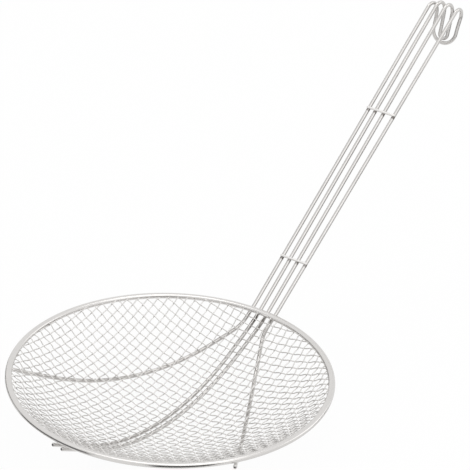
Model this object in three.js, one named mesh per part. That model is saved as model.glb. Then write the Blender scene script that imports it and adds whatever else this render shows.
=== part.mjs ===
// Wire skimmer: a woven wire bowl held in a folded steel rim. Two bent frame wires carry it.
// Each one is a hairpin: its closed end curls over as the hanging hook, its sides are handle
// rails, and its free ends run on under the rim and along the underside of the bowl as ribs.
// Millimetres, +Z up. The rim lies level and the handle rises along +X.

import * as THREE from 'three';

// Driving dimensions: rim and bowl
const RIM_DIAMETER = 250;
const RIM_WIDTH = 5;
const RIM_SHEET = 0.5;
const RIM_FOLD_RADIUS = 0.8;
const BOWL_DEPTH = 41.5;
const CLOTH_MARGIN = 1;

// Driving dimensions: woven cloth, with its outermost wires set in from the edge of the dish
const MESH_WIRE_DIAMETER = 0.9;
const MESH_EDGE_GAP = 5;
const CLOTH_TURN = THREE.MathUtils.degToRad(-2.75);

// Mesh wires of each family on either side of the middle one
const MESH_ROWS = 9;

// Driving dimensions: frame wires, handle and hook
const FRAME_WIRE_DIAMETER = 3;
const RIM_RAIL_PITCH = 7;
const HANDLE_LENGTH = 300.5;
const HANDLE_SLOPE = THREE.MathUtils.degToRad(34.6);
const HOOK_BEND_RADIUS = 8.4;
const HOOK_TURN = THREE.MathUtils.degToRad(144);
const HOOK_LEG_LENGTH = 12.2;

// Spans of the two wires across the hook and shifts of their middles to the left: both stand uneven
const OUTER_HOOK_SPAN = 24.6;
const OUTER_HOOK_SHIFT = -1;
const OUTER_LOOP_SPAN = 21;
const OUTER_LOOP_SHIFT = -0.7;
const INNER_HOOK_SPAN = 7.8;
const INNER_HOOK_SHIFT = 1.3;
const INNER_LOOP_SPAN = 7;
const INNER_LOOP_SHIFT = 0.2;

// How much further up than the left outer rail the inner rails and the right outer rail bend over
const INNER_RAIL_EXTRA = 2.8;
const RIGHT_RAIL_EXTRA = 1.5;

// Driving dimensions: ribs
const RIB_STUB = 2;
const CENTRE_RIB_STUB = 0.6;
const RIB_BEND_INSET = 13;
const RIB_BEND_LENGTH = 14;
const CENTRE_RIB_BOW = 1;
const SIDE_RIB_BOW = 2.7;
const HIDDEN_RIB_INSET = 3;

// Angles round the rim, from the handle, at which the ribs end: all slant a little to one side
const LEFT_RIB_ANGLE = THREE.MathUtils.degToRad(117.6);
const LEFT_CENTRE_RIB_ANGLE = THREE.MathUtils.degToRad(172.1);
const RIGHT_CENTRE_RIB_ANGLE = THREE.MathUtils.degToRad(176.1);
const RIGHT_RIB_ANGLE = THREE.MathUtils.degToRad(237);

// Driving dimensions: cross bars, measured up the handle from the rim
const CROSS_BAR_DIAMETER = 2;
const CROSS_BAR_END_TURN = THREE.MathUtils.degToRad(22);
const LOWER_BAR_DISTANCE = 52.5;
const UPPER_BAR_DISTANCE = 198;

// Clearance between pieces that touch or are welded on the real skimmer
const SEAT_GAP = 0.3;

// Facets
const RIM_SEGMENTS = 72;
const FOLD_STEPS = 3;
const FRAME_WIRE_SIDES = 8;
const MESH_WIRE_SIDES = 5;
const HOOK_BEND_STEPS = 8;
const HOOK_LEG_STEPS = 3;
const LOOP_CORNER_STEPS = 5;
const BAR_END_STEPS = 3;
const RIB_STEP = 12.5;

// Sizes that follow from the driving dimensions
const rimRadius = RIM_DIAMETER / 2;
const rimInnerRadius = rimRadius - RIM_WIDTH;
const clothThickness = 2 * MESH_WIRE_DIAMETER + SEAT_GAP;
const weaveLift = (MESH_WIRE_DIAMETER + SEAT_GAP) / 2;
const slotHeight = clothThickness + 2 * SEAT_GAP;
const slotFloorRadius = rimRadius - RIM_SHEET;
const rimHeight = slotHeight + 2 * RIM_SHEET;
const clothEndRadius = slotFloorRadius * Math.cos(Math.PI / RIM_SEGMENTS) - SEAT_GAP;
const dishRadius = rimInnerRadius - CLOTH_MARGIN;
const dishSphere = capSphereRadius(dishRadius, BOWL_DEPTH);
const meshPitch = (dishRadius - MESH_EDGE_GAP) / MESH_ROWS;
const frameWireRadius = FRAME_WIRE_DIAMETER / 2;

// Places of the four rails, in rail pitches from the middle of the handle
const innerRailPlace = 1 / 2;
const outerRailPlace = innerRailPlace + 1;

// The frame wires pass under the rim's outer edge
const steepestSlope = Math.max(HANDLE_SLOPE, 2 * Math.atan(BOWL_DEPTH / dishRadius));
const railFootHeight = -rimHeight / 2 - (SEAT_GAP + frameWireRadius) / Math.cos(steepestSlope);

// The ribs lie along the cloth on a sphere round the same centre, and leave it on a tangent to the rim
const dishCentreHeight = dishSphere - BOWL_DEPTH;
const ribSphere = dishSphere + clothThickness / 2 + SEAT_GAP + frameWireRadius;
const footDepth = dishCentreHeight - railFootHeight;
const ribSlope = Math.atan2(rimRadius, footDepth) - Math.acos(ribSphere / Math.hypot(rimRadius, footDepth));
const ribLeaveRadius = ribSphere * Math.sin(ribSlope);
const sideRibRadius = rimRadius + RIB_STUB;
const centreRibRadius = rimRadius + CENTRE_RIB_STUB;
const hiddenRibRadius = rimRadius - HIDDEN_RIB_INSET;

// Directions on the handle: up the rails, out of their upper face, across them, and down the hook's legs
const upHandle = new THREE.Vector3(Math.cos(HANDLE_SLOPE), 0, Math.sin(HANDLE_SLOPE));
const outOfHandle = new THREE.Vector3(-Math.sin(HANDLE_SLOPE), 0, Math.cos(HANDLE_SLOPE));
const acrossHandle = new THREE.Vector3(0, 1, 0);
const downLeg = upHandle.clone().multiplyScalar(Math.cos(HOOK_TURN));
downLeg.addScaledVector(outOfHandle, -Math.sin(HOOK_TURN));
const handleFoot = new THREE.Vector3(rimRadius, 0, railFootHeight);

const rimSteel = new THREE.MeshStandardMaterial({ color: 0xcfccc6, roughness: 0.22, metalness: 1 });
const frameSteel = new THREE.MeshStandardMaterial({ color: 0xc9c6c0, roughness: 0.26, metalness: 1 });
const meshSteel = new THREE.MeshStandardMaterial({ color: 0xc2bfb9, roughness: 0.3, metalness: 1 });

// Radius of the sphere that a cap of this edge radius and depth is cut from
function capSphereRadius(edgeRadius, depth) {
  return (edgeRadius * edgeRadius + depth * depth) / (2 * depth);
}

// A wire's centre line: straight runs through given points, with one section at each point
class WirePath extends THREE.Curve {
  constructor(points) {
    super();
    this.points = points;
  }

  getPoint(t, target = new THREE.Vector3()) {
    const runs = this.points.length - 1;
    const index = Math.min(Math.floor(t * runs), runs - 1);
    return target.lerpVectors(this.points[index], this.points[index + 1], t * runs - index);
  }

  getUtoTmapping(u) {
    return u;
  }

  // Turns every section by the same angle, so that the flats are level at the wire's lowest point
  computeFrenetFrames(segments, closed) {
    const frames = super.computeFrenetFrames(segments, closed);
    const heights = this.points.map((point) => point.z);
    const lowest = heights.indexOf(Math.min(...heights));
    const turn = Math.atan2(-frames.normals[lowest].z, frames.binormals[lowest].z);
    frames.tangents.forEach((tangent, index) => {
      frames.normals[index].applyAxisAngle(tangent, turn);
      frames.binormals[index].applyAxisAngle(tangent, turn);
    });
    return frames;
  }
}

// Round wire section, turned so that flats face the path's normals
function wireSection(diameter, sides) {
  const corners = [];
  for (let side = 0; side < sides; side += 1) {
    const angle = (2 * Math.PI * (side + 0.5)) / sides;
    corners.push(new THREE.Vector2(Math.cos(angle), Math.sin(angle)).multiplyScalar(diameter / 2));
  }
  return new THREE.Shape(corners);
}

function wireMesh(name, points, diameter, sides, material) {
  const geometry = new THREE.ExtrudeGeometry(wireSection(diameter, sides), {
    extrudePath: new WirePath(points),
    steps: points.length - 1,
  });
  const mesh = new THREE.Mesh(geometry, material);
  mesh.name = name;
  return mesh;
}

// Points on an arc that starts at centre + start and turns towards centre + towards
function arcPoints(centre, start, towards, turn, steps) {
  const points = [];
  for (let step = 0; step <= steps; step += 1) {
    const angle = (turn * step) / steps;
    const point = centre.clone().addScaledVector(start, Math.cos(angle));
    points.push(point.addScaledVector(towards, Math.sin(angle)));
  }
  return points;
}

// Rim: a strip folded to a channel, open inwards, with rounded folds
function buildRim() {
  const halfHeight = rimHeight / 2;
  const halfSlot = slotHeight / 2;
  const profile = new THREE.Path();
  profile.moveTo(rimInnerRadius, -halfSlot);
  profile.lineTo(rimInnerRadius, -halfHeight);
  profile.absarc(rimRadius - RIM_FOLD_RADIUS, RIM_FOLD_RADIUS - halfHeight, RIM_FOLD_RADIUS, -Math.PI / 2, 0);
  profile.absarc(rimRadius - RIM_FOLD_RADIUS, halfHeight - RIM_FOLD_RADIUS, RIM_FOLD_RADIUS, 0, Math.PI / 2);
  profile.lineTo(rimInnerRadius, halfHeight);
  profile.lineTo(rimInnerRadius, halfSlot);
  profile.lineTo(slotFloorRadius, halfSlot);
  profile.lineTo(slotFloorRadius, -halfSlot);
  profile.closePath();
  const geometry = new THREE.LatheGeometry(profile.getPoints(FOLD_STEPS), RIM_SEGMENTS);
  geometry.rotateX(Math.PI / 2);
  const mesh = new THREE.Mesh(geometry, rimSteel);
  mesh.name = 'rim';
  return mesh;
}

// A point of the bowl's cloth: a spherical dish with a level margin, moved along its normal by lift
function clothPoint(x, y, lift) {
  const radius = Math.hypot(x, y);
  if (radius >= dishRadius) {
    return new THREE.Vector3(x, y, lift);
  }
  const centre = new THREE.Vector3(0, 0, dishCentreHeight);
  const inward = new THREE.Vector3(-x, -y, Math.sqrt(dishSphere ** 2 - radius ** 2)).normalize();
  return centre.addScaledVector(inward, lift - dishSphere);
}

// Plain weave: up and down by turns at the crossings, on a straight run between them
function weaveAt(station, firstSign) {
  const crossing = Math.floor(station / meshPitch);
  const share = station / meshPitch - crossing;
  const sign = crossing % 2 === 0 ? firstSign : -firstSign;
  return sign * weaveLift * (1 - 2 * share);
}

// Places along a mesh wire: its ends in the rim, the edge of the dish and the crossings
function meshStations(offset) {
  const reach = Math.sqrt(clothEndRadius ** 2 - (Math.abs(offset) + MESH_WIRE_DIAMETER / 2) ** 2);
  const dishEdge = Math.sqrt(Math.max(dishRadius ** 2 - offset ** 2, 0));
  const lastCrossing = Math.floor((reach - MESH_WIRE_DIAMETER) / meshPitch);
  const stations = [-reach, reach];
  for (let crossing = -lastCrossing; crossing <= lastCrossing; crossing += 1) {
    stations.push(crossing * meshPitch);
  }
  for (const edge of [-dishEdge, dishEdge]) {
    if (stations.every((station) => Math.abs(station - edge) > MESH_WIRE_DIAMETER)) {
      stations.push(edge);
    }
  }
  return stations.sort((a, b) => a - b);
}

// The two families of mesh wires: along the handle and across it, turned a little from its line
function buildCloth() {
  const cloth = new THREE.Group();
  cloth.rotation.z = CLOTH_TURN;
  for (let row = -MESH_ROWS; row <= MESH_ROWS; row += 1) {
    const offset = row * meshPitch;
    const firstSign = row % 2 === 0 ? 1 : -1;
    const stations = meshStations(offset);
    const number = String(row + MESH_ROWS + 1).padStart(2, '0');
    const along = stations.map((station) => clothPoint(station, offset, weaveAt(station, firstSign)));
    const across = stations.map((station) => clothPoint(offset, station, weaveAt(station, -firstSign)));
    cloth.add(wireMesh(`mesh_wire_along_${number}`, along, MESH_WIRE_DIAMETER, MESH_WIRE_SIDES, meshSteel));
    cloth.add(wireMesh(`mesh_wire_across_${number}`, across, MESH_WIRE_DIAMETER, MESH_WIRE_SIDES, meshSteel));
  }
  return cloth;
}

// Height of a rib's centre line under the bowl
function ribHeight(radius) {
  if (radius < ribLeaveRadius) {
    return dishCentreHeight - Math.sqrt(ribSphere ** 2 - radius ** 2);
  }
  return railFootHeight - (rimRadius - radius) * Math.tan(ribSlope);
}

// A rib seen from above: leaves its rail's line inside the rim, then bows towards the middle
function ribPlan(railSide, endAngle, endRadius, bow) {
  const corner = new THREE.Vector2(rimRadius - RIB_BEND_INSET, railSide);
  const end = new THREE.Vector2(Math.cos(endAngle), Math.sin(endAngle)).multiplyScalar(endRadius);
  const chord = end.clone().sub(corner);
  const inward = new THREE.Vector2(chord.y, -chord.x).setLength(-Math.sign(railSide) * 2 * bow);
  const bowControl = corner.clone().addScaledVector(chord, 0.5).add(inward);
  const bendEnd = corner.clone().add(bowControl.clone().sub(corner).setLength(RIB_BEND_LENGTH / 2));
  const plan = new THREE.Path();
  plan.moveTo(corner.x + RIB_BEND_LENGTH / 2, railSide);
  plan.quadraticCurveTo(corner.x, corner.y, bendEnd.x, bendEnd.y);
  plan.quadraticCurveTo(bowControl.x, bowControl.y, end.x, end.y);
  return plan;
}

// Places along a rib: its ends, and even steps either way from a level step at its lowest place
function ribStations(plan) {
  const length = plan.getLength();
  const places = plan.getSpacedPoints(Math.ceil(length / SEAT_GAP));
  const radii = places.map((place) => place.length());
  const lowest = (length * radii.indexOf(Math.min(...radii))) / (places.length - 1);
  const firstStep = Math.ceil((RIB_STEP - lowest) / RIB_STEP - 1 / 2);
  const stations = [0];
  for (let step = firstStep; lowest + (step + 1 / 2) * RIB_STEP < length - RIB_STEP / 2; step += 1) {
    stations.push(lowest + (step + 1 / 2) * RIB_STEP);
  }
  stations.push(length);
  return stations.map((station) => station / length);
}

function ribPoints(plan) {
  return ribStations(plan).map((share) => {
    const place = plan.getPoint(share);
    return new THREE.Vector3(place.x, place.y, ribHeight(place.length()));
  });
}

// A place on the handle: up the rails from the rim, and to the left of the handle's middle
function handlePoint(distance, side) {
  return handleFoot.clone().addScaledVector(upHandle, distance).addScaledVector(acrossHandle, side);
}

// Bend over from the end of a rail to the start of its leg
function bendPoints(railEnd) {
  const centre = railEnd.clone().addScaledVector(outOfHandle, -HOOK_BEND_RADIUS);
  const start = outOfHandle.clone().multiplyScalar(HOOK_BEND_RADIUS);
  const towards = upHandle.clone().multiplyScalar(HOOK_BEND_RADIUS);
  return arcPoints(centre, start, towards, HOOK_TURN, HOOK_BEND_STEPS);
}

// Bend and leg of one rail, eased over from the rail's end to the start of the loop
function hookPoints(railEnd, loopStart, legLength) {
  const points = bendPoints(railEnd);
  const bendLength = HOOK_BEND_RADIUS * HOOK_TURN;
  const shares = points.map((point, step) => (bendLength * step) / HOOK_BEND_STEPS);
  const legStart = points[HOOK_BEND_STEPS];
  for (let step = 1; step <= HOOK_LEG_STEPS; step += 1) {
    const distance = (legLength * step) / HOOK_LEG_STEPS;
    points.push(legStart.clone().addScaledVector(downLeg, distance));
    shares.push(bendLength + distance);
  }
  const offset = loopStart.clone().sub(points[points.length - 1]);
  points.forEach((point, index) => {
    point.addScaledVector(offset, THREE.MathUtils.smoothstep(shares[index], 0, bendLength + legLength));
  });
  return points;
}

// Half of a hairpin, from the middle of its hook loop, over the hook bend, down its rail to its rib
function hairpinHalf(pin, sign) {
  const { rail, ribAngle, ribRadius } = sign > 0 ? pin.left : pin.right;
  const loopRadius = pin.loopSpan / 2;
  const meanRail = (pin.left.rail + pin.right.rail) / 2;
  const loopCentre = bendPoints(handlePoint(meanRail, pin.loopShift))[HOOK_BEND_STEPS];
  loopCentre.addScaledVector(downLeg, pin.legLength);
  const loopStart = downLeg.clone().multiplyScalar(loopRadius);
  const loopTowards = acrossHandle.clone().multiplyScalar(sign * loopRadius);
  const loop = arcPoints(loopCentre, loopStart, loopTowards, Math.PI / 2, LOOP_CORNER_STEPS);
  const railEnd = handlePoint(rail, pin.hookShift + (sign * pin.hookSpan) / 2);
  const hook = hookPoints(railEnd, loop[LOOP_CORNER_STEPS], pin.legLength).reverse();
  const rimSide = sign * pin.railPlace * RIM_RAIL_PITCH;
  const rib = ribPoints(ribPlan(rimSide, ribAngle, ribRadius, pin.bow));
  return [...loop, ...hook.slice(1), handlePoint(0, rimSide), ...rib];
}

// A whole hairpin, as one unbroken wire from rib end to rib end
function hairpin(name, pin) {
  const points = [...hairpinHalf(pin, -1).reverse(), ...hairpinHalf(pin, 1).slice(1)];
  return wireMesh(name, points, FRAME_WIRE_DIAMETER, FRAME_WIRE_SIDES, frameSteel);
}

const outerPin = {
  railPlace: outerRailPlace,
  hookSpan: OUTER_HOOK_SPAN,
  hookShift: OUTER_HOOK_SHIFT,
  loopSpan: OUTER_LOOP_SPAN,
  loopShift: OUTER_LOOP_SHIFT,
  legLength: HOOK_LEG_LENGTH,
  left: { rail: HANDLE_LENGTH, ribAngle: LEFT_RIB_ANGLE, ribRadius: hiddenRibRadius },
  right: { rail: HANDLE_LENGTH + RIGHT_RAIL_EXTRA, ribAngle: RIGHT_RIB_ANGLE, ribRadius: sideRibRadius },
  bow: SIDE_RIB_BOW,
};

// The inner loop nests in the outer one
const loopRoom = (OUTER_LOOP_SPAN - INNER_LOOP_SPAN) / 2 - FRAME_WIRE_DIAMETER - SEAT_GAP;
const loopNesting = Math.sqrt(loopRoom ** 2 - (OUTER_LOOP_SHIFT - INNER_LOOP_SHIFT) ** 2);
const innerRail = HANDLE_LENGTH + INNER_RAIL_EXTRA;
const innerLead = INNER_RAIL_EXTRA - RIGHT_RAIL_EXTRA / 2;
const innerPin = {
  railPlace: innerRailPlace,
  hookSpan: INNER_HOOK_SPAN,
  hookShift: INNER_HOOK_SHIFT,
  loopSpan: INNER_LOOP_SPAN,
  loopShift: INNER_LOOP_SHIFT,
  legLength: HOOK_LEG_LENGTH + loopNesting - innerLead * Math.cos(HOOK_TURN),
  left: { rail: innerRail, ribAngle: LEFT_CENTRE_RIB_ANGLE, ribRadius: centreRibRadius },
  right: { rail: innerRail, ribAngle: RIGHT_CENTRE_RIB_ANGLE, ribRadius: centreRibRadius },
  bow: CENTRE_RIB_BOW,
};

// Cross bar: lies on the rails' upper side, with its ends bent down over the outer rails
function crossBar(name, distance) {
  const wrapRadius = frameWireRadius + SEAT_GAP + CROSS_BAR_DIAMETER / 2;
  const onTop = outOfHandle.clone().multiplyScalar(wrapRadius);
  const ends = [-1, 1].map((sign) => {
    const rimSide = sign * outerRailPlace * RIM_RAIL_PITCH;
    const hookSide = OUTER_HOOK_SHIFT + (sign * OUTER_HOOK_SPAN) / 2;
    const railLength = sign > 0 ? outerPin.left.rail : outerPin.right.rail;
    const outerRail = handlePoint(distance, THREE.MathUtils.lerp(rimSide, hookSide, distance / railLength));
    const outward = acrossHandle.clone().multiplyScalar(sign * wrapRadius);
    return arcPoints(outerRail, onTop, outward, CROSS_BAR_END_TURN, BAR_END_STEPS);
  });
  const points = [...ends[0].reverse(), ...ends[1]];
  return wireMesh(name, points, CROSS_BAR_DIAMETER, FRAME_WIRE_SIDES, frameSteel);
}

const skimmer = new THREE.Group();
skimmer.add(buildRim());
skimmer.add(buildCloth());
skimmer.add(hairpin('outer_frame_wire', outerPin));
skimmer.add(hairpin('inner_frame_wire', innerPin));
skimmer.add(crossBar('lower_cross_bar', LOWER_BAR_DISTANCE));
skimmer.add(crossBar('upper_cross_bar', UPPER_BAR_DISTANCE));

// The origin is the middle of the footprint, level with the lowest rib
const extent = new THREE.Box3().setFromObject(skimmer);
const footprint = extent.getCenter(new THREE.Vector3());
skimmer.position.set(-footprint.x, -footprint.y, -extent.min.z);

export default skimmer;
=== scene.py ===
import math

import bpy
import numpy as np
from mathutils import Matrix, Vector


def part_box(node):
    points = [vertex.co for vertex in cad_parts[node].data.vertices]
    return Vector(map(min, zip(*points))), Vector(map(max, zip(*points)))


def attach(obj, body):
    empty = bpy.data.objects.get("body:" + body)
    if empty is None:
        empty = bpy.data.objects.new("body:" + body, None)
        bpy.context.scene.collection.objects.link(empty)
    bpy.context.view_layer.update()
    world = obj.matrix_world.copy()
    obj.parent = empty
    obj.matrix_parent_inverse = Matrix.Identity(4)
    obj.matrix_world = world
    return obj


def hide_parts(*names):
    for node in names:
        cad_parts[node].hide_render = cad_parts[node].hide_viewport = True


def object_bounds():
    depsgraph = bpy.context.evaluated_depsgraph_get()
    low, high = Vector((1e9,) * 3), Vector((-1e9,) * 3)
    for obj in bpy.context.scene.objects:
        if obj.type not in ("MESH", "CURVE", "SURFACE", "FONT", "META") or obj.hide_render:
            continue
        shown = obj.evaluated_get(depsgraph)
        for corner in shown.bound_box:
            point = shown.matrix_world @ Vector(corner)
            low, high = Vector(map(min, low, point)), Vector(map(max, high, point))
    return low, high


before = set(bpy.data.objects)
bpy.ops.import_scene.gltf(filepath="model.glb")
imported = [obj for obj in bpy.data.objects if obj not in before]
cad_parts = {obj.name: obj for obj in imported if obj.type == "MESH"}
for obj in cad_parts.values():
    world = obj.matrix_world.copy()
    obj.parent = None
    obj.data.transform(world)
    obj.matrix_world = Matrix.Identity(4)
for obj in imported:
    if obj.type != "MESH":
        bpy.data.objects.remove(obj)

cad_low, cad_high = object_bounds()

MM = 0.001
BODY = "root"
UV_LAYER = "along_and_around"

# Rim: a folded strip, whose place, radius and height are read from the frame
rim_low, rim_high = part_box("rim")
BOWL_ORIGIN = np.array((rim_low + rim_high) / 2)
RIM_RADIUS = (rim_high.x - rim_low.x) / 2
RIM_HEIGHT = rim_high.z - rim_low.z
RIM_WIDTH = 5.2 * MM
RIM_SHEET = 0.5 * MM
RIM_SQUARENESS = 2.6
RIM_LIP_TURN = math.radians(174)
RIM_SEGMENTS = 288
RIM_STEPS = 48
LIP_STEPS = 6

# Woven cloth: a dish with a level margin in the rim
CLOTH_DEPTH = 41.5 * MM
CLOTH_MARGIN = 1.0 * MM
CLOTH_THICKNESS = 2.1 * MM
CLOTH_PITCH = 6.41 * MM
CLOTH_TURN = math.radians(-2.87)
CLOTH_SHIFT_ALONG = 1.55 * MM
CLOTH_SHIFT_ACROSS = 0.2 * MM
MESH_WIRE_RADIUS = 0.45 * MM
WEAVE_LIFT = 1.2 * MESH_WIRE_RADIUS
CLOTH_END_INSET = 1.6 * MM
EDGE_BLEND = 0.5 * MM
MESH_WIRE_SIDES = 8
STEPS_PER_CROSSING = 6

# Frame wires: two hairpins of the same stock
FRAME_WIRE_RADIUS = 1.5 * MM
FRAME_WIRE_SIDES = 24
WIRE_END_HEIGHT = 0.9 * MM
WIRE_END_TURN = math.radians(80)
WIRE_END_STEPS = 5
RIM_RAIL_PITCH = 7.0 * MM
OUTER_RAIL_PLACE = 1.5 * RIM_RAIL_PITCH
INNER_RAIL_PLACE = 0.5 * RIM_RAIL_PITCH
HANDLE_LENGTH = 300.5 * MM
HANDLE_SLOPE = math.radians(34.6)
HOOK_BEND_RADIUS = 8.4 * MM
HOOK_TURN = math.radians(144)
HOOK_LEG_LENGTH = 12.2 * MM

# Spans of the two wires across the hook and shifts of their middles to the left: both stand uneven
OUTER_HOOK_SPAN = 24.6 * MM
OUTER_HOOK_SHIFT = -1.0 * MM
OUTER_LOOP_SPAN = 21.0 * MM
OUTER_LOOP_SHIFT = -0.7 * MM
INNER_HOOK_SPAN = 7.8 * MM
INNER_HOOK_SHIFT = 1.3 * MM
INNER_LOOP_SPAN = 7.0 * MM
INNER_LOOP_SHIFT = 0.2 * MM
INNER_RAIL_EXTRA = 2.8 * MM
RIGHT_RAIL_EXTRA = 1.5 * MM

# Ribs: the free ends of the frame wires under the bowl
RIB_STUB = 2.0 * MM
CENTRE_RIB_STUB = 0.6 * MM
RIB_BEND_INSET = 13.0 * MM
RIB_BEND_LENGTH = 14.0 * MM
CENTRE_RIB_BOW = 1.0 * MM
SIDE_RIB_BOW = 2.7 * MM
HIDDEN_RIB_INSET = 3.0 * MM
LEFT_RIB_ANGLE = math.radians(117.6)
LEFT_CENTRE_RIB_ANGLE = math.radians(172.1)
RIGHT_CENTRE_RIB_ANGLE = math.radians(176.1)
RIGHT_RIB_ANGLE = math.radians(237)
SEAT_GAP = 0.3 * MM

# Points along the frame wires, and the distance up the handle at which a rail's straight run ends
RAIL_START = 6.0 * MM
RAIL_POINTS = 60
RIB_STEP = 3.0 * MM
RIB_BEND_STEPS = 8
HOOK_BEND_STEPS = 24
HOOK_LEG_STEPS = 8
LOOP_STEPS = 14
BAR_END_STEPS = 8

# Cross bars, measured up the handle from the rim, sunk a little into the rails by their welds
CROSS_BAR_RADIUS = 1.0 * MM
CROSS_BAR_END_TURN = math.radians(22)
CROSS_BAR_SINK = 0.7 * MM
BAR_DISTANCES = {"lower_cross_bar": 52.5 * MM, "upper_cross_bar": 198.0 * MM}

# Steel: streaks in its gloss, clouds in its colour and shallow grooves along the wire
STREAK_DETAIL = 4.0
STREAK_RANGE = (0.3, 0.7)
CLOUD_SCALE = 45.0
CLOUD_DETAIL = 3.0
GROOVE_STRENGTH = 0.12
GROOVE_DEPTH = 0.02 * MM

# Painted shade on the ribs under the cloth, a darker patch by the handle's foot, and painted shade in
# the crevice below each bar
RIB_SHADE_FADE = 20.0 * MM
FOOT_PATCH_PLACE = (-8.0 * MM, 0, -4.0 * MM)
FOOT_PATCH_REACH = 10.0 * MM
BAR_SHADE_DROP = 1.3 * MM
BAR_SHADE_REACH = 1.8 * MM
DARK_CORE_SHARE = 0.4
DARK_PATCH_SCALE = 260.0
DARK_PATCH_DETAIL = 2.0
DARK_PATCH_RANGE = (0.35, 0.6)
DARK_LEAST_SHARE = 0.35

# Photograph's camera: aimed at a point near the middle of the skimmer
IMAGE_PIXELS = 470
CAMERA_AZIMUTH = math.radians(-56.917)
CAMERA_ELEVATION = math.radians(29.244)
CAMERA_ROLL = math.radians(2.308)
CAMERA_DISTANCE = 2.754
CAMERA_AIM = Vector(BOWL_ORIGIN) + Vector((115.557, 22.0, 64.566)) * MM
CAMERA_REACH = 100.0
SENSOR_WIDTH = 36.0
FOCAL_PIXELS = 3555.7

# Stage: the floor lies a little under the solids, as round wires reach lower than faceted ones
FLOOR_SIZE = 30.0
FLOOR_DROP = 0.25 * MM
FLOOR_GREY = 0.85
FLOOR_WHITE_SHARE = 0.93
WORLD_GREY = 0.95
BOARD_SEGMENTS = 24

# Sizes that follow
RIM_INNER_RADIUS = RIM_RADIUS - RIM_WIDTH
DISH_RADIUS = RIM_INNER_RADIUS - CLOTH_MARGIN
DISH_SPHERE = (DISH_RADIUS ** 2 + CLOTH_DEPTH ** 2) / (2 * CLOTH_DEPTH)
UP_HANDLE = np.array((math.cos(HANDLE_SLOPE), 0, math.sin(HANDLE_SLOPE)))
OUT_OF_HANDLE = np.array((-math.sin(HANDLE_SLOPE), 0, math.cos(HANDLE_SLOPE)))
ACROSS_HANDLE = np.array((0.0, 1.0, 0.0))
DOWN_LEG = UP_HANDLE * math.cos(HOOK_TURN) - OUT_OF_HANDLE * math.sin(HOOK_TURN)
STEEPEST_SLOPE = max(HANDLE_SLOPE, 2 * math.atan(CLOTH_DEPTH / DISH_RADIUS))
RAIL_FOOT_HEIGHT = -RIM_HEIGHT / 2 - (SEAT_GAP + FRAME_WIRE_RADIUS) / math.cos(STEEPEST_SLOPE)
HANDLE_FOOT = np.array((RIM_RADIUS, 0, RAIL_FOOT_HEIGHT))
DISH_CENTRE_HEIGHT = DISH_SPHERE - CLOTH_DEPTH
RIB_SPHERE = DISH_SPHERE + CLOTH_THICKNESS / 2 + SEAT_GAP + FRAME_WIRE_RADIUS
FOOT_DEPTH = DISH_CENTRE_HEIGHT - RAIL_FOOT_HEIGHT
FOOT_TO_DISH_CENTRE = math.hypot(RIM_RADIUS, FOOT_DEPTH)
RIB_SLOPE = math.atan2(RIM_RADIUS, FOOT_DEPTH) - math.acos(RIB_SPHERE / FOOT_TO_DISH_CENTRE)
RIB_LEAVE_RADIUS = RIB_SPHERE * math.sin(RIB_SLOPE)
SIDE_RIB_RADIUS = RIM_RADIUS + RIB_STUB
CENTRE_RIB_RADIUS = RIM_RADIUS + CENTRE_RIB_STUB
HIDDEN_RIB_RADIUS = RIM_RADIUS - HIDDEN_RIB_INSET


# Mesh helpers

def unit(vectors):
    return vectors / np.linalg.norm(vectors, axis=-1, keepdims=True)


def path_tangents(points):
    return unit(np.gradient(points, axis=0))


def path_lengths(points):
    """The length travelled along a path at each of its points."""
    return np.concatenate(([0], np.cumsum(np.linalg.norm(np.diff(points, axis=0), axis=1))))


def carried_normals(tangents):
    """A normal at each point of a path, carried along without twist."""
    start = np.cross(tangents[0], ACROSS_HANDLE)
    normals = [start / np.linalg.norm(start)]
    for tangent in tangents[1:]:
        normal = normals[-1] - tangent * np.dot(normals[-1], tangent)
        normals.append(normal / np.linalg.norm(normal))
    return np.array(normals)


def tube(points, radii, sides, normals=None):
    """Vertices, faces and texture coordinates of a capped round tube along a path."""
    points = np.asarray(points)
    rings = len(points)
    radii = np.broadcast_to(radii, rings)
    tangents = path_tangents(points)
    if normals is None:
        normals = carried_normals(tangents)
    normals = unit(normals - tangents * (normals * tangents).sum(1, keepdims=True))
    binormals = np.cross(tangents, normals)
    angles = 2 * math.pi * np.arange(sides) / sides
    spokes = np.cos(angles)[:, None] * normals[:, None, :]
    spokes = spokes + np.sin(angles)[:, None] * binormals[:, None, :]
    vertices = (points[:, None, :] + radii[:, None, None] * spokes).reshape(-1, 3)
    lengths = path_lengths(points)
    girth = 2 * math.pi * radii.max() / sides
    faces = []
    uvs = []
    for ring in range(rings - 1):
        for side in range(sides):
            after = (side + 1) % sides
            base = ring * sides
            faces.append((base + side, base + after, base + sides + after, base + sides + side))
            low, high = lengths[ring], lengths[ring + 1]
            left, right = side * girth, (side + 1) * girth
            uvs.extend(((low, left), (low, right), (high, right), (high, left)))
    for ring, turn in ((0, -1), (rings - 1, 1)):
        faces.append(tuple(ring * sides + side for side in range(sides))[::turn])
        uvs.extend([(lengths[ring], 0.0)] * sides)
    return vertices, faces, uvs


def mesh_piece(name, parts, material, replaced):
    """One object made of several tubes or shells, riding on the body in place of its CAD nodes."""
    vertices = []
    faces = []
    uvs = []
    count = 0
    for part_vertices, part_faces, part_uvs in parts:
        vertices.append(part_vertices + BOWL_ORIGIN)
        faces.extend(tuple(index + count for index in face) for face in part_faces)
        uvs.extend(part_uvs)
        count += len(part_vertices)
    mesh = bpy.data.meshes.new(name)
    mesh.from_pydata(np.concatenate(vertices).tolist(), [], faces)
    layer = mesh.uv_layers.new(name=UV_LAYER)
    layer.data.foreach_set("uv", np.array(uvs, np.float32).ravel())
    mesh.shade_smooth()
    mesh.materials.append(material)
    piece = bpy.data.objects.new(name, mesh)
    bpy.context.scene.collection.objects.link(piece)
    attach(piece, BODY)
    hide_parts(*replaced)


# Materials

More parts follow.
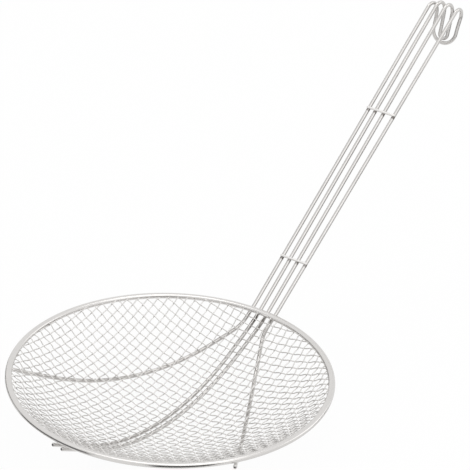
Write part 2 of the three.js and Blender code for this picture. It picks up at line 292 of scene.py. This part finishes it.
def maths_node(tree, kind, operation, values):
    """A maths node whose inputs, in order, are linked to sockets or set to numbers or vectors."""
    step = tree.nodes.new(kind)
    step.operation = operation
    for socket, value in zip(step.inputs, values):
        if isinstance(value, bpy.types.NodeSocket):
            tree.links.new(value, socket)
        else:
            socket.default_value = value
    return step


def number_step(tree, operation, *values):
    return maths_node(tree, "ShaderNodeMath", operation, values).outputs["Value"]


def vector_step(tree, operation, *values, output="Vector"):
    return maths_node(tree, "ShaderNodeVectorMath", operation, values).outputs[output]


def map_range(tree, value, old_range, new_range=(0.0, 1.0), shape="LINEAR"):
    """Carries a number over from one range to another."""
    step = tree.nodes.new("ShaderNodeMapRange")
    step.interpolation_type = shape
    step.inputs["From Min"].default_value, step.inputs["From Max"].default_value = old_range
    step.inputs["To Min"].default_value, step.inputs["To Max"].default_value = new_range
    tree.links.new(value, step.inputs["Value"])
    return step.outputs["Result"]


def noise(tree, place, scale, detail):
    texture = tree.nodes.new("ShaderNodeTexNoise")
    texture.inputs["Scale"].default_value = scale
    texture.inputs["Detail"].default_value = detail
    tree.links.new(place, texture.inputs["Vector"])
    return texture.outputs["Fac"]


def steel(name, colour, shade, roughness, streaks_along, streaks_around):
    """Bright drawn steel: fine streaks along the wire in its gloss, and soft clouds in its colour."""
    material = bpy.data.materials.new(name)
    material.use_nodes = True
    tree = material.node_tree
    shader = tree.nodes["Principled BSDF"]
    shader.inputs["Metallic"].default_value = 1.0

    surface = tree.nodes.new("ShaderNodeUVMap")
    surface.uv_map = UV_LAYER
    stretch = tree.nodes.new("ShaderNodeMapping")
    stretch.inputs["Scale"].default_value = (streaks_along, streaks_around, 1)
    tree.links.new(surface.outputs["UV"], stretch.inputs["Vector"])
    streaks = noise(tree, stretch.outputs["Vector"], 1.0, STREAK_DETAIL)
    gloss = map_range(tree, streaks, STREAK_RANGE, roughness)
    tree.links.new(gloss, shader.inputs["Roughness"])

    place = tree.nodes.new("ShaderNodeTexCoord")
    tint = tree.nodes.new("ShaderNodeMix")
    tint.data_type = "RGBA"
    tint.inputs["A"].default_value = (*colour, 1)
    tint.inputs["B"].default_value = (*shade, 1)
    clouds = noise(tree, place.outputs["Object"], CLOUD_SCALE, CLOUD_DETAIL)
    tree.links.new(clouds, tint.inputs["Factor"])
    tree.links.new(tint.outputs["Result"], shader.inputs["Base Color"])

    grooves = tree.nodes.new("ShaderNodeBump")
    grooves.inputs["Strength"].default_value = GROOVE_STRENGTH
    grooves.inputs["Distance"].default_value = GROOVE_DEPTH
    tree.links.new(streaks, grooves.inputs["Height"])
    tree.links.new(grooves.outputs["Normal"], shader.inputs["Normal"])
    return material


def colour_over(material, share, colour):
    """Mixes a further colour into a material's own, by a share from 0 to 1."""
    tree = material.node_tree
    shader = tree.nodes["Principled BSDF"]
    blend = tree.nodes.new("ShaderNodeMix")
    blend.data_type = "RGBA"
    blend.inputs["B"].default_value = (*colour, 1)
    tree.links.new(share, blend.inputs["Factor"])
    tree.links.new(shader.inputs["Base Color"].links[0].from_socket, blend.inputs["A"])
    tree.links.new(blend.outputs["Result"], shader.inputs["Base Color"])


def shade_ribs_under_cloth(material, shade):
    """Makes the frame wires darker under the bowl: painted shade of the cloth above them."""
    tree = material.node_tree
    place = tree.nodes.new("ShaderNodeTexCoord").outputs["Object"]
    from_middle = vector_step(tree, "SUBTRACT", place, BOWL_ORIGIN)
    level = vector_step(tree, "MULTIPLY", from_middle, (1, 1, 0))
    distance = vector_step(tree, "LENGTH", level, output="Value")
    under = map_range(tree, distance, (DISH_RADIUS, DISH_RADIUS - RIB_SHADE_FADE))
    colour_over(material, under, shade)


def darken_foot_and_shade_bars(material, dark_colour):
    """Darkens the frame wires in patches: by the handle's foot, and painted shade in the crevice just
    below each cross bar.
    """
    tree = material.node_tree
    place = tree.nodes.new("ShaderNodeTexCoord").outputs["Object"]
    from_foot = vector_step(tree, "SUBTRACT", place, BOWL_ORIGIN + HANDLE_FOOT)
    from_foot_patch = vector_step(tree, "DISTANCE", from_foot, FOOT_PATCH_PLACE, output="Value")
    along = vector_step(tree, "DOT_PRODUCT", from_foot, UP_HANDLE, output="Value")

    def darkening_within(distance, reach):
        return map_range(tree, distance, (reach, DARK_CORE_SHARE * reach), shape="SMOOTHSTEP")

    total = darkening_within(from_foot_patch, FOOT_PATCH_REACH)
    # Painted shade of the crevice on the lower side of each bar, shifted down towards the rim
    for bar_distance in BAR_DISTANCES.values():
        off = number_step(tree, "SUBTRACT", along, bar_distance - BAR_SHADE_DROP)
        bar_shade = darkening_within(number_step(tree, "ABSOLUTE", off), BAR_SHADE_REACH)
        total = number_step(tree, "MAXIMUM", total, bar_shade)
    patches = noise(tree, place, DARK_PATCH_SCALE, DARK_PATCH_DETAIL)
    share = map_range(tree, patches, DARK_PATCH_RANGE, (DARK_LEAST_SHARE, 1.0))
    colour_over(material, number_step(tree, "MULTIPLY", total, share), dark_colour)


rim_steel = steel(
    "rim_steel",
    colour=(0.70, 0.685, 0.67),
    shade=(0.65, 0.635, 0.62),
    roughness=(0.18, 0.28),
    streaks_along=30,
    streaks_around=2500,
)
frame_steel = steel(
    "frame_steel",
    colour=(0.64, 0.625, 0.61),
    shade=(0.56, 0.545, 0.53),
    roughness=(0.14, 0.26),
    streaks_along=40,
    streaks_around=3000,
)
# The cross bars' steel is a lighter copy of the frame steel: painted light on their bodies
bar_steel_painted_light = steel(
    "bar_steel_painted_light",
    colour=(0.80, 0.785, 0.77),
    shade=(0.72, 0.705, 0.69),
    roughness=(0.18, 0.30),
    streaks_along=40,
    streaks_around=3000,
)
mesh_steel = steel(
    "mesh_steel",
    colour=(0.75, 0.735, 0.72),
    shade=(0.65, 0.635, 0.62),
    roughness=(0.20, 0.32),
    streaks_along=60,
    streaks_around=6000,
)
# Painted shade on the ribs under the cloth
shade_ribs_under_cloth(frame_steel, shade=(0.54, 0.525, 0.51))
# A darker patch by the handle's foot, and painted shade below each cross bar
darken_foot_and_shade_bars(frame_steel, dark_colour=(0.09, 0.075, 0.065))


# Rim

def rim_profile():
    """Section of the folded strip as radius and height, once round: its lips close onto the cloth."""
    middle = RIM_RADIUS - RIM_WIDTH / 2

    def shell(inset):
        points = []
        for turn in np.linspace(-RIM_LIP_TURN, RIM_LIP_TURN, RIM_STEPS + 1):
            out, up = math.cos(turn), math.sin(turn)
            reach = (abs(out) ** RIM_SQUARENESS + abs(up) ** RIM_SQUARENESS) ** (-1 / RIM_SQUARENESS)
            radius = middle + (RIM_WIDTH / 2 - inset) * reach * out
            height = (RIM_HEIGHT / 2 - inset) * reach * up
            points.append((radius, height))
        return points

    def lip(start, end):
        across = (np.array(start) - end) / 2
        inward = np.array((-across[1], across[0]))
        angles = math.pi * np.arange(1, LIP_STEPS) / LIP_STEPS
        return [tuple(end + across + across * math.cos(a) + inward * math.sin(a)) for a in angles]

    outside = shell(0)
    inside = shell(RIM_SHEET)[::-1]
    return [*outside, *lip(outside[-1], inside[0]), *inside, *lip(inside[-1], outside[0])]


def rim_shell():
    """Vertices, faces and texture coordinates of the rim's section, turned once round."""
    profile = rim_profile()
    count = len(profile)
    along = path_lengths(profile + profile[:1])
    vertices = []
    faces = []
    uvs = []
    for segment in range(RIM_SEGMENTS):
        angle = 2 * math.pi * segment / RIM_SEGMENTS
        vertices.extend((r * math.cos(angle), r * math.sin(angle), z) for r, z in profile)
        here = segment * count
        there = (segment + 1) % RIM_SEGMENTS * count
        low = RIM_RADIUS * angle
        high = RIM_RADIUS * 2 * math.pi * (segment + 1) / RIM_SEGMENTS
        for place in range(count):
            after = (place + 1) % count
            faces.append((here + place, there + place, there + after, here + after))
            near, far = along[place], along[place + 1]
            uvs.extend(((low, near), (high, near), (high, far), (low, far)))
    return np.array(vertices), faces, uvs


# Woven cloth

def cloth_net(rows):
    """Directions from the dish's centre to the crossings of an even net, over a quarter of the dish."""
    step = CLOTH_PITCH / DISH_SPHERE
    net = np.zeros((rows + 1, rows + 1, 3))
    for row in range(rows + 1):
        net[row, 0] = (math.sin(row * step), 0, -math.cos(row * step))
        net[0, row] = (0, math.sin(row * step), -math.cos(row * step))
    for row in range(1, rows + 1):
        for column in range(1, rows + 1):
            one, other = net[row - 1, column], net[row, column - 1]
            across = np.cross(one, other)
            share = math.cos(step) / (1 + one @ other)
            middle = share * (one + other)
            rise = math.sqrt((1 - middle @ middle) / (across @ across))
            options = (middle + rise * across, middle - rise * across)
            behind = net[row - 1, column - 1]
            net[row, column] = min(options, key=lambda place: place @ behind)
    return net


def whole_net(rows):
    """The quarter net, mirrored into all four quarters and laid a little askew in the dish."""
    quarter = cloth_net(rows)
    places = np.arange(-rows, rows + 1)
    net = quarter[np.abs(places)[:, None], np.abs(places)[None, :]]
    signs = np.where(places < 0, -1.0, 1.0)
    net[..., 0] *= signs[:, None]
    net[..., 1] *= signs[None, :]
    turn = Matrix.Rotation(CLOTH_TURN, 3, "Z")
    along = Matrix.Rotation(-CLOTH_SHIFT_ALONG / DISH_SPHERE, 3, "Y")
    across = Matrix.Rotation(CLOTH_SHIFT_ACROSS / DISH_SPHERE, 3, "X")
    return net @ np.array(across @ along @ turn).T


def woven_wire(crossings, first_sign):
    """Centre line and normals of one mesh wire, over and under at its crossings and cut at the rim."""
    shares = np.arange(STEPS_PER_CROSSING) / STEPS_PER_CROSSING
    runs = len(crossings) - 1
    directions = [
        crossings[run] * (1 - share) + crossings[run + 1] * share
        for run in range(runs)
        for share in shares
    ]
    directions = unit(np.array(directions))
    signs = first_sign * (-1.0) ** np.arange(runs)
    lifts = (signs[:, None] * np.cos(math.pi * shares)[None, :]).ravel() * WEAVE_LIFT
    centre = np.array((0, 0, DISH_CENTRE_HEIGHT))
    points = centre + directions * DISH_SPHERE
    points[:, 2] = -EDGE_BLEND * np.log1p(np.exp(-points[:, 2] / EDGE_BLEND))
    points -= directions * lifts[:, None]
    inside = np.hypot(points[:, 0], points[:, 1]) < RIM_RADIUS - CLOTH_END_INSET
    return points[inside], -directions[inside]


def cloth_family(net, along):
    """All wires of the cloth that run one way, along the handle or across it."""
    rows = len(net) // 2
    wires = []
    for row in range(-rows, rows + 1):
        crossings = net[:, row + rows] if along else net[row + rows, :]
        first_sign = (1 if along else -1) * (-1) ** (row % 2)
        points, normals = woven_wire(crossings, first_sign)
        if len(points) > STEPS_PER_CROSSING:
            wires.append(tube(points, MESH_WIRE_RADIUS, MESH_WIRE_SIDES, normals))
    return wires


# Frame wires

def arc_points(centre, start, towards, turn, steps):
    angles = np.linspace(0, turn, steps + 1)[:, None]
    return centre + np.cos(angles) * start + np.sin(angles) * towards


def bezier(start, control, end, steps):
    shares = np.linspace(0, 1, steps + 1)[:, None]
    return (1 - shares) ** 2 * start + 2 * shares * (1 - shares) * control + shares ** 2 * end


def rib_height(radius):
    """Along the cloth at first, then on a straight line that leaves it and passes under the rim."""
    if radius < RIB_LEAVE_RADIUS:
        return DISH_CENTRE_HEIGHT - math.sqrt(RIB_SPHERE ** 2 - radius ** 2)
    return RAIL_FOOT_HEIGHT - (RIM_RADIUS - radius) * math.tan(RIB_SLOPE)


def rib(rail_side, end_angle, end_radius, bow):
    """Leaves its rail's line inside the rim, then bows towards the middle on its way to the far side."""
    corner = np.array((RIM_RADIUS - RIB_BEND_INSET, rail_side))
    end = end_radius * np.array((math.cos(end_angle), math.sin(end_angle)))
    chord = end - corner
    inward = -math.copysign(1, rail_side) * unit(np.array((chord[1], -chord[0])))
    control = corner + chord / 2 + 2 * bow * inward
    bend_start = corner + np.array((RIB_BEND_LENGTH / 2, 0))
    bend_end = corner + RIB_BEND_LENGTH / 2 * unit(control - corner)
    steps = round(np.linalg.norm(chord) / RIB_STEP)
    bend = bezier(bend_start, corner, bend_end, RIB_BEND_STEPS)
    run = bezier(bend_end, control, end, steps)
    return [(x, y, rib_height(math.hypot(x, y))) for x, y in [*bend, *run[1:]]]


def handle_point(distance, side):
    """A place on the handle: up the rails from the rim, and to the left of the handle's middle."""
    return HANDLE_FOOT + UP_HANDLE * distance + ACROSS_HANDLE * side


def bend_points(rail_end):
    """The hook's bend, from the end of a rail over and down."""
    outward = OUT_OF_HANDLE * HOOK_BEND_RADIUS
    upward = UP_HANDLE * HOOK_BEND_RADIUS
    return arc_points(rail_end - outward, outward, upward, HOOK_TURN, HOOK_BEND_STEPS)


def hook_points(rail_end, loop_start, leg_length):
    """Bend and leg of one rail, eased over from the rail's end to the start of the loop."""
    bend = bend_points(rail_end)
    leg = bend[-1] + DOWN_LEG * np.linspace(0, leg_length, HOOK_LEG_STEPS + 1)[1:, None]
    points = np.concatenate([bend, leg])
    travelled = path_lengths(points)
    share = travelled / travelled[-1]
    ease = share * share * (3 - 2 * share)
    return points + ease[:, None] * (loop_start - points[-1])


def hairpin_half(pin, sign):
    """From the middle of the hook loop, over the hook bend, down the rail and along the rib."""
    end = pin["left"] if sign > 0 else pin["right"]
    loop_radius = pin["loop_span"] / 2
    mean_rail = (pin["left"]["rail"] + pin["right"]["rail"]) / 2
    bend_end = bend_points(handle_point(mean_rail, pin["loop_shift"]))[-1]
    loop_centre = bend_end + DOWN_LEG * pin["leg_length"]
    sideways = ACROSS_HANDLE * sign * loop_radius
    loop = arc_points(loop_centre, DOWN_LEG * loop_radius, sideways, math.pi / 2, LOOP_STEPS)
    rail_end = handle_point(end["rail"], pin["hook_shift"] + sign * pin["hook_span"] / 2)
    hook = hook_points(rail_end, loop[-1], pin["leg_length"])[::-1]
    rim_side = sign * pin["place"]
    rail = np.linspace(hook[-1], handle_point(RAIL_START, rim_side), RAIL_POINTS)
    ribs = rib(rim_side, end["rib_angle"], end["rib_radius"], pin["bow"])
    return np.concatenate([loop, hook[1:], rail[1:], ribs])


def hairpin(pin):
    """One bent wire, from rib end to rib end, with both ends rounded."""
    points = np.concatenate([hairpin_half(pin, -1)[::-1], hairpin_half(pin, 1)[1:]])
    turns = np.linspace(0, WIRE_END_TURN, WIRE_END_STEPS + 1)[1:]
    heights = WIRE_END_HEIGHT * np.sin(turns)[:, None]
    head = points[0] + heights * unit(points[0] - points[1])
    tail = points[-1] + heights * unit(points[-1] - points[-2])
    end_radii = FRAME_WIRE_RADIUS * np.cos(turns)
    radii = np.concatenate([end_radii[::-1], np.full(len(points), FRAME_WIRE_RADIUS), end_radii])
    return tube(np.concatenate([head[::-1], points, tail]), radii, FRAME_WIRE_SIDES)


OUTER_PIN = {
    "place": OUTER_RAIL_PLACE,
    "hook_span": OUTER_HOOK_SPAN,
    "hook_shift": OUTER_HOOK_SHIFT,
    "loop_span": OUTER_LOOP_SPAN,
    "loop_shift": OUTER_LOOP_SHIFT,
    "leg_length": HOOK_LEG_LENGTH,
    "left": {"rail": HANDLE_LENGTH, "rib_angle": LEFT_RIB_ANGLE, "rib_radius": HIDDEN_RIB_RADIUS},
    "right": {
        "rail": HANDLE_LENGTH + RIGHT_RAIL_EXTRA,
        "rib_angle": RIGHT_RIB_ANGLE,
        "rib_radius": SIDE_RIB_RADIUS,
    },
    "bow": SIDE_RIB_BOW,
}

# The inner loop nests in the outer one
LOOP_ROOM = (OUTER_LOOP_SPAN - INNER_LOOP_SPAN) / 2 - 2 * FRAME_WIRE_RADIUS - SEAT_GAP
LOOP_NESTING = math.sqrt(LOOP_ROOM ** 2 - (OUTER_LOOP_SHIFT - INNER_LOOP_SHIFT) ** 2)
INNER_RAIL = HANDLE_LENGTH + INNER_RAIL_EXTRA
INNER_LEAD = INNER_RAIL_EXTRA - RIGHT_RAIL_EXTRA / 2
INNER_PIN = {
    "place": INNER_RAIL_PLACE,
    "hook_span": INNER_HOOK_SPAN,
    "hook_shift": INNER_HOOK_SHIFT,
    "loop_span": INNER_LOOP_SPAN,
    "loop_shift": INNER_LOOP_SHIFT,
    "leg_length": HOOK_LEG_LENGTH + LOOP_NESTING - INNER_LEAD * math.cos(HOOK_TURN),
    "left": {"rail": INNER_RAIL, "rib_angle": LEFT_CENTRE_RIB_ANGLE, "rib_radius": CENTRE_RIB_RADIUS},
    "right": {"rail": INNER_RAIL, "rib_angle": RIGHT_CENTRE_RIB_ANGLE, "rib_radius": CENTRE_RIB_RADIUS},
    "bow": CENTRE_RIB_BOW,
}


def outer_rail_point(distance, sign):
    """A place on an outer rail, left or right, at a distance up the handle."""
    rail = OUTER_PIN["left" if sign > 0 else "right"]["rail"]
    rim_side = sign * OUTER_RAIL_PLACE
    hook_side = OUTER_HOOK_SHIFT + sign * OUTER_HOOK_SPAN / 2
    return handle_point(distance, rim_side + (hook_side - rim_side) * distance / rail)


def cross_bar(distance):
    """A short wire across the rails' upper side, its ends bent down a little over the outer rails."""
    lift = FRAME_WIRE_RADIUS + CROSS_BAR_RADIUS - CROSS_BAR_SINK
    ends = []
    for sign in (-1, 1):
        rail = outer_rail_point(distance, sign)
        sideways = ACROSS_HANDLE * sign * lift
        ends.append(arc_points(rail, OUT_OF_HANDLE * lift, sideways, CROSS_BAR_END_TURN, BAR_END_STEPS))
    points = np.concatenate([ends[0][::-1], ends[1]])
    return tube(points, CROSS_BAR_RADIUS, FRAME_WIRE_SIDES)


def build_skimmer():
    mesh_piece("rim_band", [rim_shell()], rim_steel, ["rim"])
    nodes = sorted(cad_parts)
    rows = math.ceil(DISH_SPHERE * math.asin(RIM_RADIUS / DISH_SPHERE) / CLOTH_PITCH) + 1
    net = whole_net(rows)
    for family, along in (("along", True), ("across", False)):
        replaced = [node for node in nodes if node.startswith(f"mesh_wire_{family}_")]
        wires = cloth_family(net, along)
        mesh_piece(f"cloth_wires_{family}", wires, mesh_steel, replaced)
    mesh_piece("outer_hairpin", [hairpin(OUTER_PIN)], frame_steel, ["outer_frame_wire"])
    mesh_piece("inner_hairpin", [hairpin(INNER_PIN)], frame_steel, ["inner_frame_wire"])
    for node, distance in BAR_DISTANCES.items():
        mesh_piece(f"{node}_wire", [cross_bar(distance)], bar_steel_painted_light, [node])


# Stage

def stage_mesh(name, vertices, faces, material):
    mesh = bpy.data.meshes.new(name)
    mesh.from_pydata(vertices, [], faces)
    mesh.materials.append(material)
    piece = bpy.data.objects.new(name, mesh)
    bpy.context.scene.collection.objects.link(piece)
    return piece


def seen_rays(tree):
    """One where the camera, a reflection or glass looks, and zero for other light."""
    path = tree.nodes.new("ShaderNodeLightPath")
    total = path.outputs["Is Camera Ray"]
    for name in ("Is Glossy Ray", "Is Transmission Ray"):
        total = number_step(tree, "MAXIMUM", total, path.outputs[name])
    return total


def build_floor():
    """A white floor that keeps the skimmer's shadow."""
    material = bpy.data.materials.new("floor_white")
    material.use_nodes = True
    tree = material.node_tree
    tree.nodes.clear()
    output = tree.nodes.new("ShaderNodeOutputMaterial")
    paper = tree.nodes.new("ShaderNodeBsdfDiffuse")
    paper.inputs["Color"].default_value = (FLOOR_GREY, FLOOR_GREY, FLOOR_GREY, 1)
    glow = tree.nodes.new("ShaderNodeEmission")
    mix = tree.nodes.new("ShaderNodeMixShader")
    share = number_step(tree, "MULTIPLY", seen_rays(tree), FLOOR_WHITE_SHARE)
    tree.links.new(share, mix.inputs["Fac"])
    tree.links.new(paper.outputs[0], mix.inputs[1])
    tree.links.new(glow.outputs[0], mix.inputs[2])
    tree.links.new(mix.outputs[0], output.inputs["Surface"])
    half = FLOOR_SIZE / 2
    level = cad_low.z - FLOOR_DROP
    corners = [(x * half, y * half, level) for x, y in ((-1, -1), (1, -1), (1, 1), (-1, 1))]
    stage_mesh("floor", corners, [(0, 1, 2, 3)], material)


def arc_path(centre, distance, start, end):
    """Places on the floor at a distance from a centre, between two angles in degrees."""
    angles = np.radians(np.linspace(start, end, BOARD_SEGMENTS + 1)).tolist()
    x, y = centre[:2]
    return [(x + distance * math.cos(angle), y + distance * math.sin(angle)) for angle in angles]


def build_board(name, grey, path, heights):
    """An upright grey board on the floor, which only shows as a dark line in the steel."""
    material = bpy.data.materials.new(name + "_grey")
    material.use_nodes = True
    tree = material.node_tree
    tree.nodes.clear()
    output = tree.nodes.new("ShaderNodeOutputMaterial")
    glow = tree.nodes.new("ShaderNodeEmission")
    glow.inputs["Color"].default_value = (grey, grey, grey, 1)
    tree.links.new(glow.outputs[0], output.inputs["Surface"])
    vertices = []
    for (x, y), height in zip(path, np.linspace(*heights, len(path))):
        vertices += [(x, y, cad_low.z), (x, y, cad_low.z + height)]
    faces = [(2 * i, 2 * i + 2, 2 * i + 3, 2 * i + 1) for i in range(len(path) - 1)]
    board = stage_mesh(name, vertices, faces, material)
    board.visible_camera = False
    board.visible_diffuse = False
    board.visible_shadow = False
    board.visible_transmission = False


def build_boards():
    build_board(
        "left_board",
        grey=0.2,
        path=arc_path((0, 0), distance=3.0, start=64, end=130),
        heights=(1.1, 1.1),
    )
    build_board(
        "left_front_board",
        grey=0.15,
        path=arc_path(BOWL_ORIGIN, distance=0.19, start=132, end=178),
        heights=(0.07, 0.1),
    )
    build_board(
        "front_board",
        grey=0.08,
        path=arc_path(BOWL_ORIGIN, distance=0.19, start=207, end=234),
        heights=(0.1, 0.1),
    )
    build_board(
        "far_front_board",
        grey=0.08,
        path=arc_path(BOWL_ORIGIN, distance=0.3, start=205, end=240),
        heights=(0.22, 0.22),
    )
    build_board(
        "right_board",
        grey=0.05,
        path=[(0.1, -0.3), (0.42, -0.3)],
        heights=(0.05, 0.17),
    )


def build_world():
    """Even light all round, which the camera and reflections see as plain white."""
    world = bpy.data.worlds.new("studio")
    bpy.context.scene.world = world
    world.use_nodes = True
    tree = world.node_tree
    tree.nodes.clear()
    output = tree.nodes.new("ShaderNodeOutputWorld")
    light = tree.nodes.new("ShaderNodeBackground")
    light.inputs["Color"].default_value = (WORLD_GREY, WORLD_GREY, WORLD_GREY, 1)
    white = tree.nodes.new("ShaderNodeBackground")
    white.inputs["Color"].default_value = (1, 1, 1, 1)
    mix = tree.nodes.new("ShaderNodeMixShader")
    tree.links.new(seen_rays(tree), mix.inputs["Fac"])
    tree.links.new(light.outputs[0], mix.inputs[1])
    tree.links.new(white.outputs[0], mix.inputs[2])
    tree.links.new(mix.outputs[0], output.inputs["Surface"])


def area_light(name, place, size, power):
    """A round lamp, turned towards the frame's origin."""
    data = bpy.data.lights.new(name, "AREA")
    data.shape = "DISK"
    data.size = size
    data.energy = power
    lamp = bpy.data.objects.new(name, data)
    bpy.context.scene.collection.objects.link(lamp)
    lamp.location = place
    lamp.rotation_euler = (-Vector(place)).to_track_quat("-Z", "Y").to_euler()


def build_lamps():
    area_light("overhead", place=(0.62, 0.49, 2.37), size=1.34, power=5.8)
    area_light("key", place=(-0.5, -1.2, 2.2), size=1.6, power=5.0)
    area_light("side", place=(1.717, -1.115, 1.434), size=1.6, power=4.0)


def build_camera():
    data = bpy.data.cameras.new("photo_camera")
    data.sensor_width = SENSOR_WIDTH
    data.lens = FOCAL_PIXELS * SENSOR_WIDTH / IMAGE_PIXELS
    data.clip_end = CAMERA_REACH
    camera = bpy.data.objects.new("photo_camera", data)
    bpy.context.scene.collection.objects.link(camera)
    level = math.cos(CAMERA_ELEVATION)
    back = Vector((
        math.sin(CAMERA_AZIMUTH) * level,
        -math.cos(CAMERA_AZIMUTH) * level,
        math.sin(CAMERA_ELEVATION),
    ))
    right = Vector((math.cos(CAMERA_AZIMUTH), math.sin(CAMERA_AZIMUTH), 0))
    turned = Matrix.Rotation(CAMERA_ROLL, 3, back) @ right
    up = back.cross(turned)
    camera.matrix_world = Matrix.LocRotScale(
        CAMERA_AIM + back * CAMERA_DISTANCE,
        Matrix((turned, up, back)).transposed(),
        None,
    )
    bpy.context.scene.camera = camera


build_camera()
build_skimmer()
build_floor()
build_boards()
build_world()
build_lamps()
bpy.context.scene.view_settings.view_transform = "Standard"
